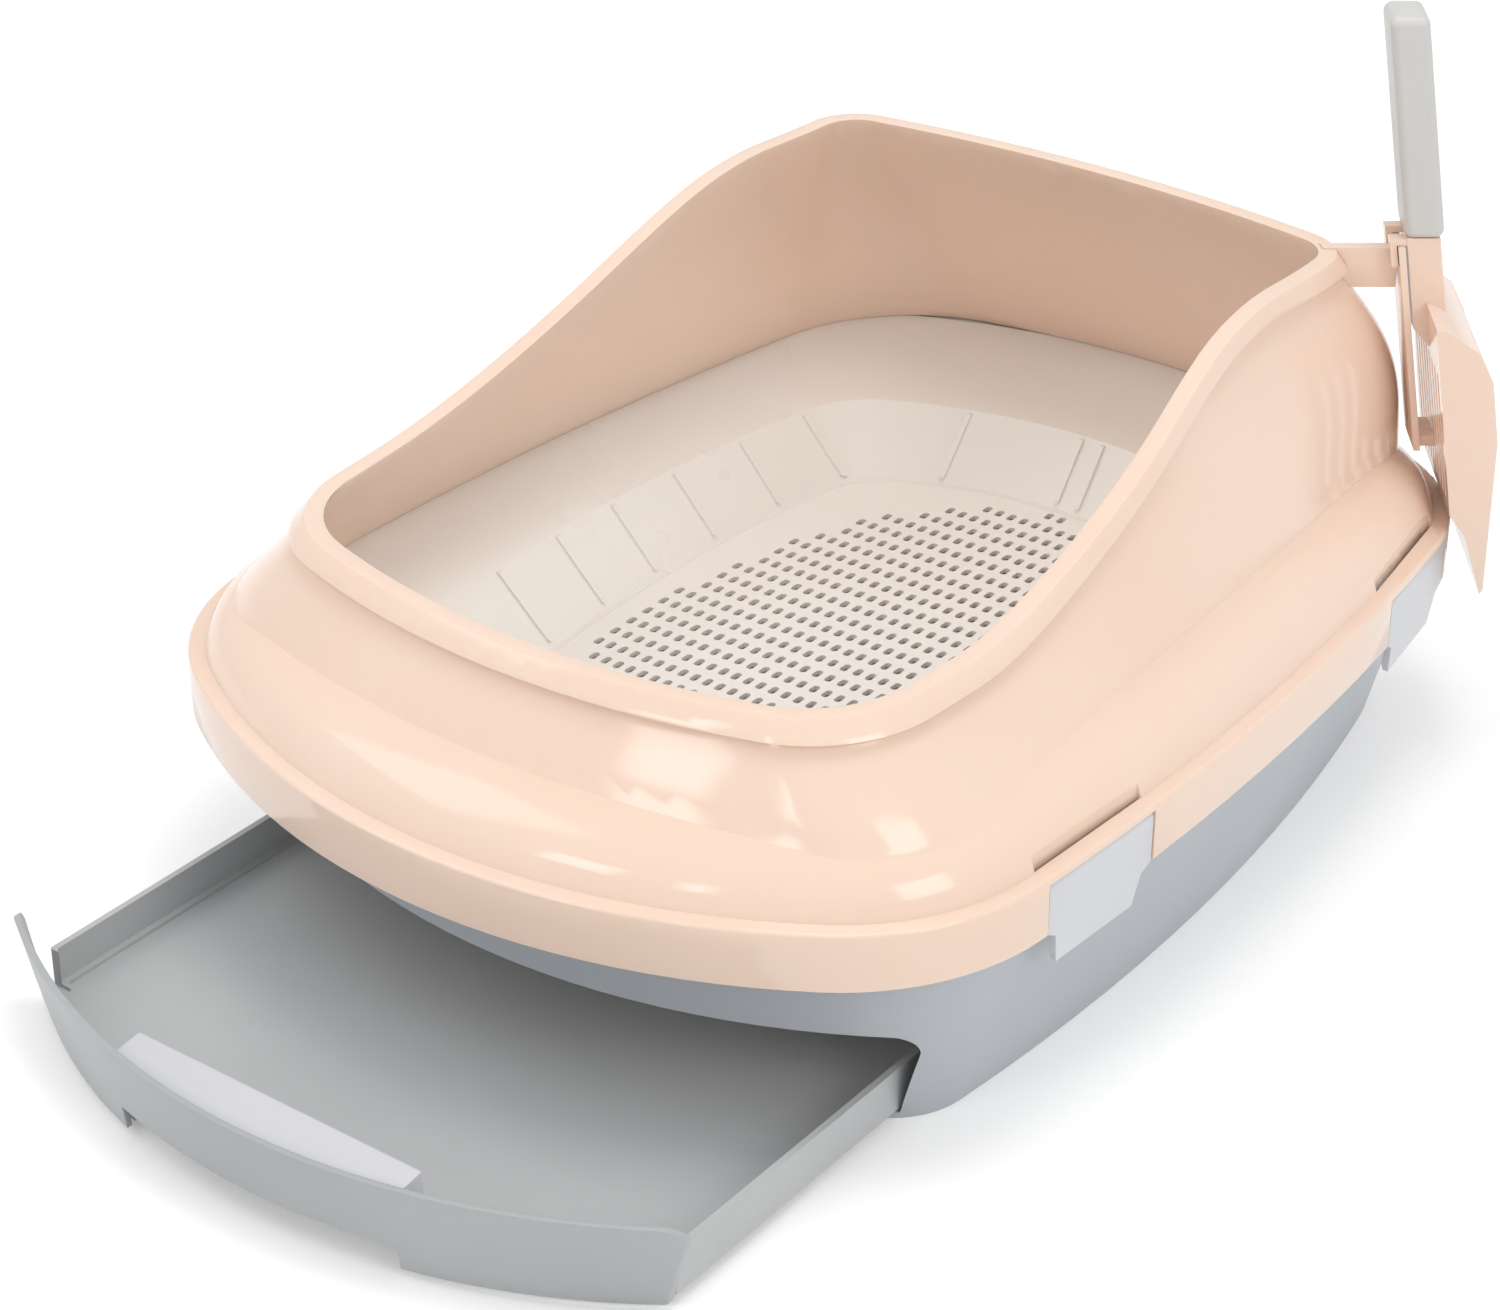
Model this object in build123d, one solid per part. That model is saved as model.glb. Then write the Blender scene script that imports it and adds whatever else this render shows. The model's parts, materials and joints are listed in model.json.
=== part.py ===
from build123d import *
import math
import os

os.makedirs("parts", exist_ok=True)

# Drawer litter box: hull-shaped base with a pull-out drawer, sieve pan and a high-backed shroud.
# Millimetres. X to the right, Y to the back, Z up. The origin is on the floor, in the middle
# of the footprint. The drawer is drawn pulled out by DRAWER_OUT, as it stands when emptied.
GAP = 0.3
WALL = 2.6
BASE_WALL = 3.0
FAR = 600.0

# Level of each joint line between the mouldings, from the floor up.
FLANGE_TOP = 100.0
BAND_LOW = 90.0
BAND_TOP = 116.0
PAN_RIM = 111.0
CREASE = 142.0
SIEVE_TOP = 66.0

# Drawer and its opening in the hull.
DRAWER_OUT = 150.0
OPEN_TOP = 47.0
OPEN_LOW = 3.4
OPEN_HALF_TOP = 181.0
OPEN_HALF_LOW = 168.0
OPEN_CORNER = 8.0
OPEN_BACK = -110.0
FRONT_GAP = 1.0

# Sieve holes: slots on a 7 x 12 grid.
HOLE_X = 7.0
HOLE_Y = 12.0
HOLE_WIDE = 3.5
HOLE_LONG = 6.5

# Latches: centre of each on the right hand side, and the heading of its outward normal.
LATCH_LONG = 70.0
LATCHES = {"front": (215.8, -122.0, -3.3), "rear": (205.0, 161.0, 8.4)}

# Scoop: frame on the rear right corner, first axis diagonally outwards.
SCOOP_PLACE = Location((127, 183.3, 0), (0, 0, 37))


def disc(a, b, c, shrink):
    """Disc whose rim runs through three points, its radius then made smaller by shrink."""
    arc = ThreePointArc(a, b, c)
    middle = arc.arc_center
    seam = math.degrees(math.atan2(middle.Y - b[1], middle.X - b[0]))
    return Pos(middle.X, middle.Y) * Rot(0, 0, seam) * Circle(arc.radius - shrink)


def outline(plan, shrink=0.0):
    """Plan outline, mirrored about X = 0, moved inwards by shrink (outwards where negative).

    A plan gives the front, front corner, side, rear corner and back points and both radii.
    The front arc bounds only the part ahead of the side point, the back arc the part behind.
    """
    front, (fx, fy), (mx, my), (rx, ry), back, round_f, round_r = plan
    half_plane = Rectangle(FAR, FAR)
    face = disc((-fx, fy), (0, front), (fx, fy), shrink) + Pos(0, my + FAR / 2) * half_plane
    face = face & (disc((rx, ry), (0, back), (-rx, ry), shrink) + Pos(0, my - FAR / 2) * half_plane)
    face = face & disc((fx, fy), (mx, my), (rx, ry), shrink)
    face = face & disc((-rx, ry), (-mx, my), (-fx, fy), shrink)
    face = fillet(face.vertices().sort_by(Axis.Y)[:2], round_f - shrink)
    return fillet(face.vertices().sort_by(Axis.Y)[-2:], round_r - shrink)


def stack(sections, grow=0.0, ruled=False):
    """Solid through (height, plan, inset) sections, each moved outwards by grow."""
    layers = [Pos(0, 0, z) * outline(plan, shrink - grow) for z, plan, shrink in sections]
    return loft(layers, ruled=ruled)


def slab(face, low, high):
    """The outline drawn up from one height to another."""
    return Pos(0, 0, low) * extrude(face, high - low, dir=(0, 0, 1))


def block(x0, x1, y0, y1, z0, z1):
    """Box between six planes."""
    return Pos((x0 + x1) / 2, (y0 + y1) / 2, (z0 + z1) / 2) * Box(x1 - x0, y1 - y0, z1 - z0)


def side_profile(points, low, high):
    """Closed (y, z) polygon in the YZ plane, drawn along X from low to high."""
    face = make_face(Polyline(*[(low, y, z) for y, z in points], close=True))
    return extrude(face, high - low, dir=(1, 0, 0))


def save(node, shape):
    """One named subcomponent as its own file."""
    shape.label = node
    export_step(shape, "parts/" + node + ".step")


# Plan outlines of the hull, from the floor to its rim flange.
hull_0 = (-245, (178, -182), (187, -35), (152, 240), 267, 38, 62)
hull_46 = (-251, (190, -187), (197, -35), (166, 238), 274, 45, 68)
hull_64 = (-255, (193, -190), (200, -34), (172, 236), 276, 52, 72)
hull_97 = (-273, (202, -202), (211, -30), (187, 224), 281, 88, 86)
hull = [(0, hull_0, 0), (OPEN_TOP, hull_46, 0), (64, hull_64, 0), (FLANGE_TOP, hull_97, 0)]

# The band of the shroud is the widest outline.
band_plan = (-291, (208.6, -209), (218, -25), (195.5, 226), 288, 105, 95)


def opening(shrink, y0, y1):
    """Drawer opening in the hull's front, seen from the front, drawn along Y."""
    top = OPEN_TOP - shrink
    points = [(OPEN_HALF_LOW - shrink, OPEN_LOW), (OPEN_HALF_TOP - shrink, top)]
    corners = [(-x, z) for x, z in points] + [(x, z) for x, z in reversed(points)]
    face = make_face(Polyline(*corners, close=True))
    face = fillet(face.vertices().sort_by(Axis.Y)[-2:], OPEN_CORNER)
    return Pos(0, y1, 0) * Rot(90, 0, 0) * extrude(face, y1 - y0)


# Base tub: hull shell with a floor, a rim flange, the drawer opening and guide ribs.
hull_solid = stack(hull)
hull_inner = stack(hull, -BASE_WALL)
base = hull_solid - hull_inner
base += slab(outline(hull_0, 1.0), 0, 2.6)
flange_ring = outline(band_plan, 4.5) - outline(hull_97, BASE_WALL)
base += slab(flange_ring, FLANGE_TOP - 3, FLANGE_TOP)
base -= opening(0, -FAR, OPEN_BACK)
GUIDE_IN = 168.6
GUIDE_THICK = 3.0
GUIDE_TOP = 22.0
FLOOR_IN = 2.0
RUNNER_HALF = 4.0
RUNNER_TOP = 4.2
for side in (-1, 1):
    inner, outer = sorted((side * GUIDE_IN, side * (GUIDE_IN + GUIDE_THICK)))
    base += block(inner, outer, -90, 110, FLOOR_IN, GUIDE_TOP)
for x in (-100, 0, 100):
    base += block(x - RUNNER_HALF, x + RUNNER_HALF, -190, 180, FLOOR_IN, RUNNER_TOP)

# Notches in the rim flange where the latches hang and swing.
NOTCH_LONG = 76.0
NOTCH_DEEP = 8.2
for x, y, heading in LATCHES.values():
    for mirror in (1, -1):
        turn = Location((mirror * x, y, 0), (0, 0, mirror * heading))
        low, high = sorted((-mirror * NOTCH_DEEP, mirror * 10))
        base -= turn * block(low, high, -NOTCH_LONG / 2, NOTCH_LONG / 2, 85, 105)
base = base.solids().sort_by(SortBy.VOLUME)[-1]
save("base_tub", base)

# Drawer front: the piece of the hull that fills the opening, with a finger notch below.
NOTCH_HALF = 73.0
NOTCH_TOP = 15.0
out = Pos(0, -DRAWER_OUT, 0)
skin = hull_solid - hull_inner
front = skin & opening(FRONT_GAP, -FAR, -150)
front -= block(-NOTCH_HALF, NOTCH_HALF, -FAR, -150, -5, NOTCH_TOP)
front = out * front.solids().sort_by(SortBy.VOLUME)[-1]
save("drawer_front", front)

# Drawer tray: shallow tray behind the front, bowed like it, with a rounded back.
TRAY_HALF = 167.0
TRAY_FLOOR = 4.6
TRAY_DEEP = 2.4
RAIL_TOP = 25.0
RAIL_THICK = 3.0
TRAY_BACK = 205.0
RAIL_FRONT = -186.0
POCKET_HALF = 75.0
POCKET_BACK = -221.0
TRAY_ROUND = 85.0
FOOT_WIDE = 3.0
FOOT_TALL = 1.6


def tray_shape(shrink):
    """Plan of the tray, moved inwards by shrink."""
    plan = Pos(0, -45) * Rectangle(2 * (TRAY_HALF - shrink), 2 * (TRAY_BACK + 45 - shrink))
    plan = fillet(plan.vertices().sort_by(Axis.Y)[-2:], TRAY_ROUND - shrink)
    return plan & outline(hull_0, BASE_WALL + 0.6 + shrink)


tray = slab(tray_shape(0), TRAY_FLOOR, TRAY_FLOOR + TRAY_DEEP)
ahead = block(-FAR, FAR, -FAR, RAIL_FRONT, -5, 60)
tray += slab(tray_shape(0) - tray_shape(RAIL_THICK), TRAY_FLOOR, RAIL_TOP) - ahead
foot_plan = tray_shape(1) - tray_shape(RAIL_THICK + FOOT_WIDE)
tray += slab(foot_plan, TRAY_FLOOR, TRAY_FLOOR + TRAY_DEEP + FOOT_TALL) - ahead
tray -= block(-POCKET_HALF + 2, POCKET_HALF - 2, -FAR, POCKET_BACK - 2, -5, 20)
tray = out * tray.solids().sort_by(SortBy.VOLUME)[-1]
save("drawer_tray", tray)

# Grip cover: hood over the finger pocket between the front plate and the tray floor.
COVER_WALL = 2.2
cover_profile = [(-262, 38.5), (-262, 6), (POCKET_BACK, 6), (POCKET_BACK - 2, 43)]
cover = side_profile(cover_profile, -POCKET_HALF, POCKET_HALF)
hollow_profile = [(-300, 35.5), (-300, 0), (POCKET_BACK - COVER_WALL, 0)]
hollow_profile += [(POCKET_BACK - COVER_WALL - 2, 40.6)]
cover -= side_profile(hollow_profile, -POCKET_HALF + COVER_WALL, POCKET_HALF - COVER_WALL)
cover = cover & stack(hull, -BASE_WALL - 0.1)
cover -= block(-FAR, FAR, -FAR, FAR, -5, TRAY_FLOOR + TRAY_DEEP)
cover = out * cover.solids().sort_by(SortBy.VOLUME)[-1]
save("grip_cover", cover)

# Litter pan: bowl with a ledge half way up, ribs on its lower wall, a flat rim and a short
# skirt that stands on the base's flange.
BOWL_LEDGE = 96.0
LEDGE_RISE = 2.0
bowl_66 = (-160, (108, -115), (118, -20), (106, 155), 188, 50, 41)
bowl_96 = (-205, (140, -160), (149, -25), (128, 175), 212, 52, 50)
bowl_98 = (-214, (148, -167), (157, -25), (138, 188), 230, 55, 58)
bowl_111 = (-263, (195, -203), (197.5, -75), (161, 249), 278, 68, 95)
steps = [(SIEVE_TOP, bowl_66, 0), (BOWL_LEDGE, bowl_96, 0)]
steps += [(BOWL_LEDGE + LEDGE_RISE, bowl_98, 0), (PAN_RIM + 0.5, bowl_111, 0)]
hollow = stack(steps, ruled=True)
below = [(SIEVE_TOP - 5, bowl_66, 1.5 - WALL), (BOWL_LEDGE - WALL, bowl_96, -WALL)]
below += [(BOWL_LEDGE + LEDGE_RISE - WALL, bowl_98, -WALL), (PAN_RIM - 1, bowl_111, -WALL)]
pan = stack(below, ruled=True)
RIM_IN = 8.0
rim_plan = outline(band_plan, RIM_IN)
pan += slab(rim_plan, PAN_RIM - WALL, PAN_RIM)
pan += slab(rim_plan - outline(band_plan, RIM_IN + WALL), FLANGE_TOP + GAP, PAN_RIM)
pan -= hollow
SIEVE_EDGE = 6.0
SIEVE_THICK = 2.4
pan -= slab(outline(bowl_66, SIEVE_EDGE), SIEVE_TOP - 10, SIEVE_TOP + 5)
pan -= slab(outline(bowl_66, SIEVE_EDGE / 2), SIEVE_TOP - SIEVE_THICK, SIEVE_TOP + 5)
RIB_DEEP = 2.2
RIB_HALF = 1.2
rib_zone = stack(steps[:2]) - stack(steps[:2], -RIB_DEEP)
for y in (-66, -23, 17, 61, 107, 150):
    for side in (-1, 1):
        inner, outer = sorted((side * 90, side * 150))
        pan += rib_zone & block(inner, outer, y - RIB_HALF, y + RIB_HALF, SIEVE_TOP + 3, BOWL_LEDGE - 1)
for x in (-66, -6, 6, 66):
    pan += rib_zone & block(x - RIB_HALF, x + RIB_HALF, 150, 222, SIEVE_TOP + 3, BOWL_LEDGE - 1)
for x, y, heading in LATCHES.values():
    for mirror in (1, -1):
        turn = Location((mirror * x, y, 0), (0, 0, mirror * heading))
        low, high = sorted((-mirror * 13.4, mirror * 10))
        pan -= turn * block(low, high, -NOTCH_LONG / 2 - 1, NOTCH_LONG / 2 + 1, 99, PAN_RIM + 1)
pan = pan.solids().sort_by(SortBy.VOLUME)[-1]
save("litter_pan", pan)

# Sieve plate: flat floor of the pan, slots inside an egg-shaped field.
sieve = slab(outline(bowl_66, SIEVE_EDGE / 2 + 0.15), SIEVE_TOP - SIEVE_THICK, SIEVE_TOP)
FIELD_MID = -25.0
FIELD_HALF = 105.0
FIELD_BACK = 208.0
FIELD_FRONT = 128.0
slots = []
for column in range(15):
    x = (column + 0.5) * HOLE_X
    for row in range(-12, 15):
        y = 35 + row * HOLE_Y
        reach = FIELD_BACK if y > FIELD_MID else FIELD_FRONT
        inside = (x / FIELD_HALF) ** 2 + ((y - FIELD_MID) / reach) ** 2
        if inside < 0.97:
            slots += [(x, y), (-x, y)]
hole = extrude(SlotOverall(HOLE_LONG, HOLE_WIDE, rotation=90), 10)
sieve -= [Pos(x, y, SIEVE_TOP - 5) * hole for x, y in slots]
sieve = sieve.solids().sort_by(SortBy.VOLUME)[-1]
save("sieve_plate", sieve)

# Shroud: high-backed upper wall, skirt and band in one moulding, with a rolled rim.
wall_111 = (-266, (198, -205), (200.3, -75), (163.5, 251), 281, 70, 97)
wall_142 = (-252, (184, -205), (180, -65), (160, 242), 268, 65, 60)
wall_181 = (-226, (145, -196), (160, 45), (159, 226), 254, 55, 42)
wall_210 = (-203, (131, -175), (150, 65), (150, 208), 232, 52, 30)
wall_247 = (-180, (118, -155), (137, 85), (133, 185), 195, 50, 22)
upper = [(PAN_RIM + GAP, wall_111, 0), (CREASE, wall_142, 0), (181, wall_181, 0)]
upper += [(210, wall_210, 0), (247, wall_247, 0)]
rim_points = [(-135, 181), (-85, 186.5), (-45, 196), (15, 216)]
rim_points += [(55, 232), (85, 240.5), (115, 243.5), (165, 241.5)]


def above_rim(drop):
    """Everything above the rim's line, moved down by drop; the line climbs from front to back."""
    points = [(0, y, z - drop) for y, z in rim_points]
    line = Spline(*points, tangents=[(0, 1, 0), (0, 1, -0.02)])
    y0, z0 = points[0][1:]
    y1, z1 = points[-1][1:]
    behind = [(0, y1, z1), (0, FAR, z1 - 2), (0, FAR, FAR)]
    line += Polyline(*behind, (0, -FAR, FAR), (0, -FAR, z0), (0, y0, z0))
    return Pos(-FAR / 2, 0, 0) * extrude(make_face(line), FAR, dir=(1, 0, 0))


BEAD_OUT = 5.5
BEAD_TALL = 8.0
wall_outer = stack(upper)
wall_inner = stack([(PAN_RIM - 1, wall_111, 0)] + upper[1:], -WALL)
cut_top = above_rim(0)
bead = (stack(upper, BEAD_OUT) & above_rim(BEAD_TALL)) - cut_top
wall = (wall_outer - cut_top) + bead - wall_inner
skirt_steps = [(BAND_TOP, 7.5), (122, 9.5), (129, 14), (135, 21)]
skirt_steps += [(139.5, 29), (142, 37), (143.3, 46)]
skirt = stack([(z, band_plan, t) for z, t in skirt_steps], ruled=True)
skirt -= stack([(z - WALL, band_plan, t + WALL) for z, t in skirt_steps], ruled=True)
LEDGE = 10.5
BAND_EDGE = 1.8
band = slab(outline(band_plan), BAND_LOW, BAND_TOP)
band = fillet(band.edges().group_by(Axis.Z)[-1], BAND_EDGE)
band -= slab(outline(band_plan, WALL), BAND_LOW - 1, BAND_TOP - WALL)
band -= slab(outline(band_plan, LEDGE), BAND_LOW - 1, BAND_TOP + 1)
shroud = (band + skirt) - wall_outer + wall

# Latch recesses: a window in the band, a housing behind it with a bearing hole in each cheek,
# and a slit in the ledge above.
PIN = Vector(-3.8, 0, 110)
KNUCKLE = 3.0
PEG = 1.6
CHEEK = 3.0
ROOF = 113.4
HOUSING_LOW = 104.5
SLIT_IN = -10.2
SLIT_OUT = -8.4
long = LATCH_LONG / 2 + 1
cheeks = block(SLIT_IN - WALL, -1, -long - CHEEK, long + CHEEK, HOUSING_LOW, BAND_TOP - 1)
room = block(SLIT_IN, 12, -long, long, 70, ROOF)
room += block(SLIT_IN, SLIT_OUT, -long, long, 70, BAND_TOP + 8)
room += block(SLIT_OUT, 12, -long, long, BAND_TOP, BAND_TOP + 8)
bearing = Pos(PIN) * Rot(90, 0, 0) * Cylinder(PEG + 0.08, 2 * long + 4.4)
for x, y, heading in LATCHES.values():
    place = Location((x, y, 0), (0, 0, heading))
    shroud += place * cheeks
    shroud += (place * cheeks).mirror(Plane.YZ)
    for tool in (room, bearing):
        shroud -= place * tool
        shroud -= (place * tool).mirror(Plane.YZ)
shroud = shroud.solids().sort_by(SortBy.VOLUME)[-1]
save("shroud", shroud)

# Latch: thin plate hung on two pegs, its lower end tucked in towards the hull.
half = LATCH_LONG / 2
plate = [(-3.4, 110), (-3.4, 91), (-6.0, 76), (-5.4, 72), (-3, 71.4), (-0.9, 90), (-0.8, 110)]
latch_face = make_face(Polyline(*[(x, 0, z) for x, z in plate], close=True))
latch = Pos(0, half, 0) * extrude(latch_face, LATCH_LONG, dir=(0, -1, 0))
latch += Pos(PIN) * Rot(90, 0, 0) * Cylinder(KNUCKLE, LATCH_LONG)
for end in (-1, 1):
    corner = [(end * (half + 1), 68), (end * (half + 1), 89.4), (end * half, 89.4)]
    corner += [(end * (half - 6), 86), (end * (half - 10), 68)]
    latch -= side_profile(corner, -20, 10)
latch += Pos(PIN) * Rot(90, 0, 0) * Cylinder(PEG, LATCH_LONG + 5.2)
latch = latch.solids().sort_by(SortBy.VOLUME)[-1]
for name, (x, y, heading) in LATCHES.items():
    placed = Location((x, y, 0), (0, 0, heading)) * latch
    save("latch_" + name + "_right", placed)
    save("latch_" + name + "_left", placed.mirror(Plane.YZ))

# Scoop holder: gusset arm on the shroud's rear right corner and a strap that the scoop hooks
# over and leans on. Distances are outwards (s) and up (z) in the scoop's own frame.
LEAN = 0.155


def neck_line(z, off=0.0):
    """Back of the scoop's neck and handle at height z."""
    return 39.6 - (z - 243) * LEAN + off


def dish_line(z, off=0.0):
    """Back of the scoop's dish at height z."""
    return 49.9 + (219 - z) * LEAN + off


def across(points, half_width, middle=0.0):
    """Closed (out, height) polygon drawn across the scoop, half_width to each side."""
    face = make_face(Polyline(*[(s, middle + half_width, z) for s, z in points], close=True))
    return extrude(face, 2 * half_width, dir=(0, -1, 0))


ARM_LOW = 223.0
ARM_TOP = 246.0
STRAP_LOW = 146.0
STRAP_GAP = 1.2
STRAP_THICK = 3.0
STRAP_HALF = 13.0
strap_in = -STRAP_GAP - STRAP_THICK
strap = [(neck_line(z, -STRAP_GAP), z) for z in (ARM_TOP, STRAP_LOW)]
strap += [(neck_line(z, strap_in), z) for z in (STRAP_LOW, ARM_TOP)]
holder = across(strap, STRAP_HALF)
holder += block(0, neck_line(ARM_TOP, -STRAP_GAP - 1), -3, 3, ARM_LOW, ARM_TOP - 4)
bumper = [(neck_line(z, -2), z) for z in (152, 147)] + [(dish_line(z, -0.4), z) for z in (147, 152)]
holder += across(bumper, STRAP_HALF - 3)
holder = SCOOP_PLACE * holder
holder -= wall_outer
holder -= bead
holder = holder.solids().sort_by(SortBy.VOLUME)[-1]
save("scoop_holder", holder)

# Scoop blade: slotted dish with side walls, a neck and a hook that drops over the strap.
DISH_HALF = 40.0
DISH_WALL = 2.4
LIP_LOW = 86.0
KINK_HIGH = 126.0
KINK_LOW = 116.5
dish_side = [(dish_line(219), 219), (dish_line(KINK_HIGH), KINK_HIGH), (71.6, KINK_LOW), (81.5, LIP_LOW)]
dish_side += [(83, 88), (82.4, 163), (77.6, 193), (70.7, 207), (54.5, 218)]
dish_room = [(dish_line(z, DISH_WALL), z) for z in (214, KINK_HIGH)] + [(74.2, KINK_LOW)]
dish_room += [(83.3, 89.5), (99, 89.5), (99, 204), (70, 204)]
dish = across(dish_side, DISH_HALF) - across(dish_room, DISH_HALF - DISH_WALL)
SLOT_PITCH = 8.0
for column in range(-4, 5):
    v = column * SLOT_PITCH
    dish -= across([(40, 194), (40, 132), (70, 132), (66, 194)], 1.8, v)
NECK_DEEP = 15.0
NECK_HALF = 11.0
NECK_TOP = 250.0
neck = [(neck_line(z), z) for z in (NECK_TOP, 206)] + [(dish_line(196, off), 196) for off in (1, 9)]
neck += [(neck_line(z, NECK_DEEP), z) for z in (212, NECK_TOP)]
tang = [(neck_line(z, 3.0), z) for z in (276, 248)] + [(neck_line(z, 12.0), z) for z in (248, 276)]
HOOK_OUT = strap_in - 3.4
HOOK_IN = strap_in - 0.5
hook = [(neck_line(249.4, off), 249.4) for off in (1, HOOK_OUT)]
hook += [(neck_line(236, off), 236) for off in (HOOK_OUT, HOOK_IN)]
hook += [(neck_line(246.4, off), 246.4) for off in (HOOK_IN, 1)]
blade = dish + across(neck, NECK_HALF) + across(tang, 7)
blade += across(hook, 3, 7.5) + across(hook, 3, -7.5)
blade = SCOOP_PLACE * blade
blade = blade.solids().sort_by(SortBy.VOLUME)[-1]
save("scoop_blade", blade)

# Scoop handle: pale grip pushed over the tang of the neck.
HANDLE_TOP = 353.0
HANDLE_LOW = 250.1
HANDLE_DEEP = 17.0
HANDLE_HALF = 13.0
grip = [(neck_line(z, -0.6), z) for z in (HANDLE_TOP, HANDLE_LOW)]
grip += [(neck_line(z, HANDLE_DEEP), z) for z in (HANDLE_LOW, HANDLE_TOP)]
handle = across(grip, HANDLE_HALF)
handle = fillet(handle.edges(), 4)
socket = [(neck_line(z, 2.95), z) for z in (277, 240)] + [(neck_line(z, 12.05), z) for z in (240, 277)]
handle -= across(socket, 7.05)
handle = SCOOP_PLACE * handle
save("scoop_handle", handle.solids().sort_by(SortBy.VOLUME)[-1])
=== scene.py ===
import json
import math

import bpy
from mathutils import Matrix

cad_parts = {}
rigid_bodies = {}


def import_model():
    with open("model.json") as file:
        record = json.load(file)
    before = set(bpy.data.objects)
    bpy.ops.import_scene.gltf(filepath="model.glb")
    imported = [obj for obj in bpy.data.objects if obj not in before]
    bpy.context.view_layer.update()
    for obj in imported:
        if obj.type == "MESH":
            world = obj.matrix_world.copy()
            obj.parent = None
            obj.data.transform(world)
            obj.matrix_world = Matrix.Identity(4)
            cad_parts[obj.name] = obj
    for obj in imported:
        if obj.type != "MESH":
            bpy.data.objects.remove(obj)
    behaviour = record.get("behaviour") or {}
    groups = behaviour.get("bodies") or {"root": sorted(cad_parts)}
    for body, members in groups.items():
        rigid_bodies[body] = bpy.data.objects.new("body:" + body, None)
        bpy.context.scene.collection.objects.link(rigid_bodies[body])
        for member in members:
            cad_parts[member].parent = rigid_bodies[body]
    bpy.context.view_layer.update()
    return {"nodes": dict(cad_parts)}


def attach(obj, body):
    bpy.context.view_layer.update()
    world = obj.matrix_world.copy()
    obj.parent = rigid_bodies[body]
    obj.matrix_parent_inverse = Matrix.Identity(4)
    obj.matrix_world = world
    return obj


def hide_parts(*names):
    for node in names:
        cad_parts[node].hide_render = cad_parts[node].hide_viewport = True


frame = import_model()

# Camera: stands to the right of the front, a little over a metre and a half away, looking down.
# The long lens keeps the box's sides almost parallel, as in a catalogue picture.
CAMERA_PLACE = (0.84284, -1.18647, 0.90311)
CAMERA_AROUND = math.radians(37.01)
CAMERA_DOWN = math.radians(29.77)
SENSOR_MM = 36
LENS_MM = 88.64
bpy.ops.object.camera_add(
    location=CAMERA_PLACE, rotation=(math.pi / 2 - CAMERA_DOWN, 0, CAMERA_AROUND)
)
camera = bpy.context.active_object
camera.name = "camera"
camera.data.sensor_width = SENSOR_MM
camera.data.lens = LENS_MM
bpy.context.scene.camera = camera
bpy.context.scene.view_settings.view_transform = "Standard"


def linear(hex_colour):
    """Linear colour of an sRGB hex value, with full alpha."""
    parts = [int(hex_colour[i:i + 2], 16) / 255 for i in (1, 3, 5)]
    return [p / 12.92 if p <= 0.04045 else ((p + 0.055) / 1.055) ** 2.4 for p in parts] + [1.0]


def add_node(material, kind, settings=None, **inputs):
    """One node of a material: settings are its own fields, inputs are its sockets' values or links."""
    node = material.node_tree.nodes.new(kind)
    for field, value in (settings or {}).items():
        setattr(node, field, value)
    for name, value in inputs.items():
        socket = node.inputs[int(name[1:])] if name[1:].isdigit() else node.inputs[name.replace("_", " ")]
        if isinstance(value, bpy.types.NodeSocket):
            material.node_tree.links.new(value, socket)
        else:
            socket.default_value = value
    return node


# Floor: plain matt white sheet under the box. It takes the shadow, and looks white to the camera
# and in reflections because it glows a little for those rays only.
FLOOR_HALF = 6.0
FLOOR_COLOUR = "#F1F1F1"
FLOOR_GLOW = 0.22
FLOOR_HEIGHT = -0.0002
bpy.ops.object.select_all(action="DESELECT")
bpy.ops.mesh.primitive_plane_add(size=2 * FLOOR_HALF, location=(0, 0, FLOOR_HEIGHT))
floor = bpy.context.active_object
floor.name = "floor"
paper = bpy.data.materials.new("matt_white_paper")
paper.use_nodes = True
paper.node_tree.nodes.clear()
ray = add_node(paper, "ShaderNodeLightPath")
seen = add_node(
    paper, "ShaderNodeMath", {"operation": "MAXIMUM"},
    _0=ray.outputs["Is Camera Ray"], _1=ray.outputs["Is Glossy Ray"],
)
seen = add_node(
    paper, "ShaderNodeMath", {"operation": "MAXIMUM"},
    _0=seen.outputs[0], _1=ray.outputs["Is Transmission Ray"],
)
glow = add_node(
    paper, "ShaderNodeMath", {"operation": "MULTIPLY"}, _0=seen.outputs[0], _1=FLOOR_GLOW
)
sheet = add_node(paper, "ShaderNodeBsdfDiffuse", Color=linear(FLOOR_COLOUR))
shine = add_node(paper, "ShaderNodeEmission", Color=linear("#FFFFFF"), Strength=glow.outputs[0])
both = add_node(paper, "ShaderNodeAddShader", _0=sheet.outputs[0], _1=shine.outputs[0])
add_node(paper, "ShaderNodeOutputMaterial", Surface=both.outputs[0])
floor.data.materials.append(paper)

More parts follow.
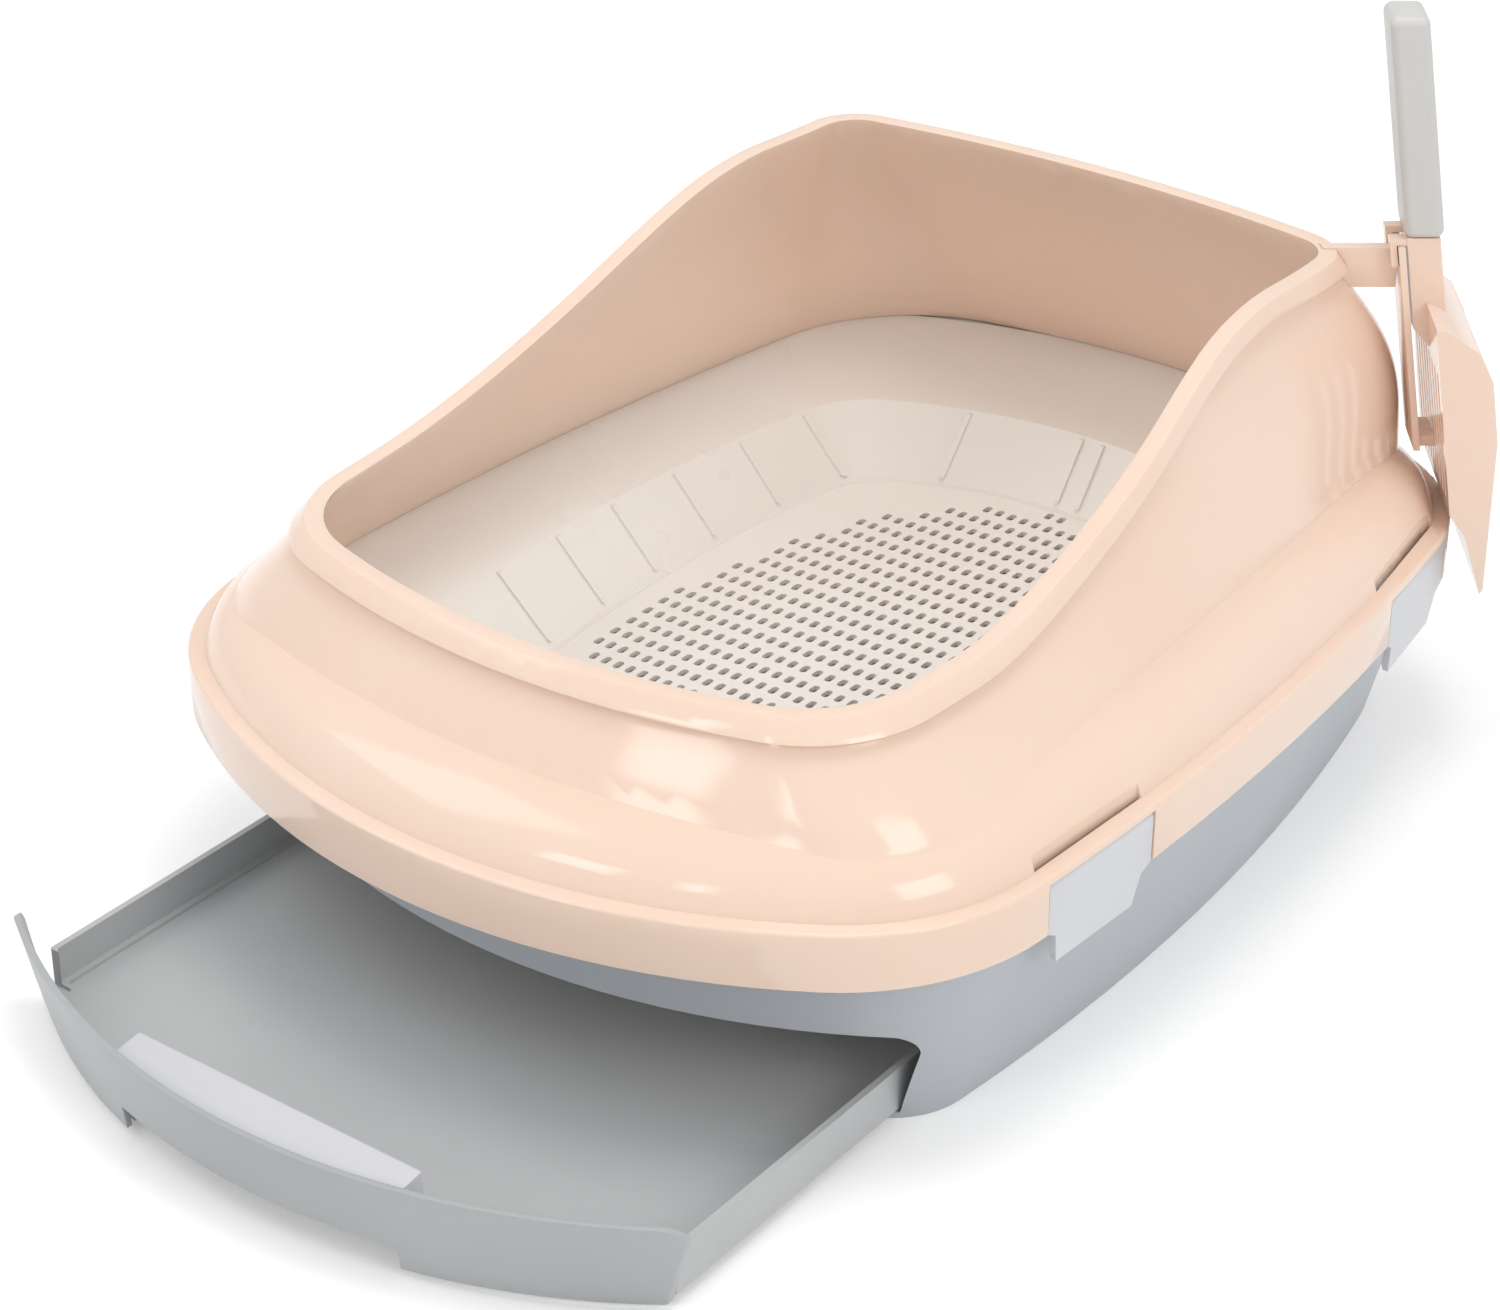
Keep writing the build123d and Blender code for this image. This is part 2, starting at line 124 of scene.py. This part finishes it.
# Light: an even white room, soft boxes high on the left, above and on the right, and two narrow
# panels low in front that show as bright window shapes in the polished shroud. Each lamp has its
# place, its target and its size in metres, and its power in watts.
ROOM_BRIGHTNESS = 0.74
world = bpy.data.worlds.new("white_room")
bpy.context.scene.world = world
world.use_nodes = True
background = world.node_tree.nodes["Background"]
background.inputs["Color"].default_value = linear("#FFFFFF")
background.inputs["Strength"].default_value = ROOM_BRIGHTNESS
SOFT_BOXES = {
    "key_light": ((-1.3, -1.0, 1.9), (0, 0, 0.1), (1.2, 1.2), 7),
    "top_light": ((0.15, 0.1, 2.3), (0, 0, 0.1), (0.9, 0.9), 11),
    "fill_light": ((2.0, -0.5, 1.3), (0, 0, 0.1), (0.9, 0.9), 9),
    "window_left": ((-0.35, -2.3, 1.35), (-0.05, -0.25, 0.15), (0.5, 0.5), 3.4),
    "window_right": ((0.45, -2.4, 1.35), (-0.05, -0.25, 0.15), (0.2, 0.5), 1.4),
}
for name, (place, target, size, watts) in SOFT_BOXES.items():
    bpy.ops.object.light_add(type="AREA", location=place)
    lamp = bpy.context.active_object
    lamp.name = name
    lamp.data.shape = "RECTANGLE"
    lamp.data.size, lamp.data.size_y = size
    lamp.data.energy = watts
    away = lamp.location.copy()
    away.x -= target[0]
    away.y -= target[1]
    away.z -= target[2]
    lamp.rotation_euler = away.to_track_quat("Z", "Y").to_euler()

# Shroud and scoop holder: one polypropylene moulding in peach, from a polished mould. The holder
# is moulded on at the rear right corner. The wall glows a little where light comes through it.
PEACH = "#F1DACA"
PEACH_DEEP = "#ECCFBA"
GLOW_RADIUS = (1.0, 0.6, 0.35)
GLOW_DEPTH = 0.004
JOIN_DISTANCE = 0.00002
CREASE = math.radians(32)


def moulded_plastic(name, pale, deep, roughness, cloud_mm, grain_mm, grain_depth_mm, glow=0.0):
    """Injection moulded polypropylene: faint cloudy tint, uneven gloss and a fine skin."""
    plastic = bpy.data.materials.new(name)
    plastic.use_nodes = True
    plastic.node_tree.nodes.clear()
    place = add_node(plastic, "ShaderNodeTexCoord").outputs["Object"]
    cloud = add_node(
        plastic, "ShaderNodeTexNoise", Vector=place, Scale=1000 / cloud_mm, Detail=3.0, Roughness=0.55
    )
    tint = add_node(
        plastic, "ShaderNodeMix", {"data_type": "RGBA"},
        Factor=cloud.outputs[0], _6=linear(pale), _7=linear(deep),
    )
    gloss = add_node(
        plastic, "ShaderNodeMapRange", Value=cloud.outputs[0], _1=0.3, _2=0.7,
        _3=roughness * 0.85, _4=roughness * 1.2,
    )
    grain = add_node(plastic, "ShaderNodeTexNoise", Vector=place, Scale=1000 / grain_mm, Detail=2.0)
    skin = add_node(
        plastic, "ShaderNodeBump", Strength=0.5, Distance=grain_depth_mm / 1000, Height=grain.outputs[0]
    )
    shader = add_node(
        plastic, "ShaderNodeBsdfPrincipled", Base_Color=tint.outputs[2], Roughness=gloss.outputs[0],
        Normal=skin.outputs[0], IOR=1.49,
    )
    shader.inputs["Subsurface Weight"].default_value = glow
    shader.inputs["Subsurface Radius"].default_value = GLOW_RADIUS
    shader.inputs["Subsurface Scale"].default_value = GLOW_DEPTH
    add_node(plastic, "ShaderNodeOutputMaterial", Surface=shader.outputs[0])
    return plastic


def finished_moulding(node, body, material, edge_mm=0.0):
    """A CAD node's copy with its triangles joined, sharp edges rounded and curved faces smooth."""
    source = frame["nodes"][node]
    bpy.ops.object.select_all(action="DESELECT")
    source.select_set(True)
    bpy.context.view_layer.objects.active = source
    bpy.ops.object.duplicate()
    piece = bpy.context.active_object
    piece.name = node + "_finish"
    bpy.ops.object.parent_clear(type="CLEAR_KEEP_TRANSFORM")
    bpy.ops.object.mode_set(mode="EDIT")
    bpy.ops.mesh.select_all(action="SELECT")
    bpy.ops.mesh.remove_doubles(threshold=JOIN_DISTANCE)
    bpy.ops.object.mode_set(mode="OBJECT")
    bpy.ops.mesh.customdata_custom_splitnormals_clear()
    if edge_mm:
        rounding = piece.modifiers.new("rounding", "BEVEL")
        rounding.width = edge_mm / 1000
        rounding.segments = 2
        rounding.limit_method = "ANGLE"
        rounding.angle_limit = CREASE
        bpy.ops.object.modifier_apply(modifier="rounding")
    bpy.ops.object.shade_smooth_by_angle(angle=CREASE)
    piece.data.materials.clear()
    piece.data.materials.append(material)
    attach(piece, body)
    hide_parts(node)


peach = moulded_plastic("peach_polished_polypropylene", PEACH, PEACH_DEEP, 0.1, 160, 2.4, 0.006, 0.12)
finished_moulding("shroud", "shroud", peach, 1.8)
finished_moulding("scoop_holder", "shroud", peach, 0.5)

# Base tub: grey polypropylene, satin from a lightly etched mould, with the drawer's guides and the
# rim flange moulded on.
base_grey = moulded_plastic("blue_grey_satin_polypropylene", "#B9BDC2", "#B0B5BA", 0.38, 180, 1.6, 0.02)
finished_moulding("base_tub", "base", base_grey)

# Drawer: tray, bowed front plate and the pale cover over the finger pocket. All are satin
# polypropylene. The tray's grey is painted lighter than the front plate's, as a painted lift of the shade
# it sits in under the base.
drawer_grey = moulded_plastic("grey_satin_polypropylene", "#B2B4B6", "#A7AAAC", 0.4, 120, 1.6, 0.02)
# Painted light: the tray's grey is lightened to offset the shade under the base; it is not a different
# plastic.
tray_grey_painted_lighter = moulded_plastic("grey_satin_polypropylene_painted_lighter", "#C3C4C5", "#B6B8B9", 0.42, 120, 1.6, 0.02)
finished_moulding("drawer_tray", "drawer", tray_grey_painted_lighter)
finished_moulding("drawer_front", "drawer", drawer_grey, 0.7)
cover_grey = moulded_plastic("pale_grey_satin_polypropylene", "#D3D4D8", "#CBCCD0", 0.36, 90, 1.6, 0.02)
finished_moulding("grip_cover", "drawer", cover_grey, 1.0)

# Litter pan and its sieve floor: off-white polypropylene bowl with stiffening ribs on its wall,
# and a whiter flat plate with rows of slots.
pan_white = moulded_plastic(
    "off_white_satin_polypropylene", "#F4F1EC", "#EEEAE4", 0.3, 140, 1.8, 0.015, 0.1
)
finished_moulding("litter_pan", "pan", pan_white)
sieve_white = moulded_plastic("white_satin_polypropylene", "#F5F3EF", "#EFECE7", 0.34, 100, 1.8, 0.015)
frame["nodes"]["sieve_plate"].data.materials.clear()
frame["nodes"]["sieve_plate"].data.materials.append(sieve_white)

# Latches: four pale clips, moulded in tough acetal with a fine satin face, that turn on pegs
# in the shroud's band.
latch_grey = moulded_plastic("pale_satin_acetal", "#D6D7DA", "#CED0D4", 0.34, 60, 1.2, 0.015)
for end in ("front", "rear"):
    for side in ("left", "right"):
        latch = "latch_" + end + "_" + side
        finished_moulding(latch, latch, latch_grey, 0.5)

# Scoop: peach blade and neck with a pale handle pushed over its tang.
handle_grey = moulded_plastic("light_grey_satin_polypropylene", "#D0CFCC", "#C8C7C5", 0.36, 60, 1.4, 0.015)
finished_moulding("scoop_blade", "scoop", peach)
finished_moulding("scoop_handle", "scoop", handle_grey)
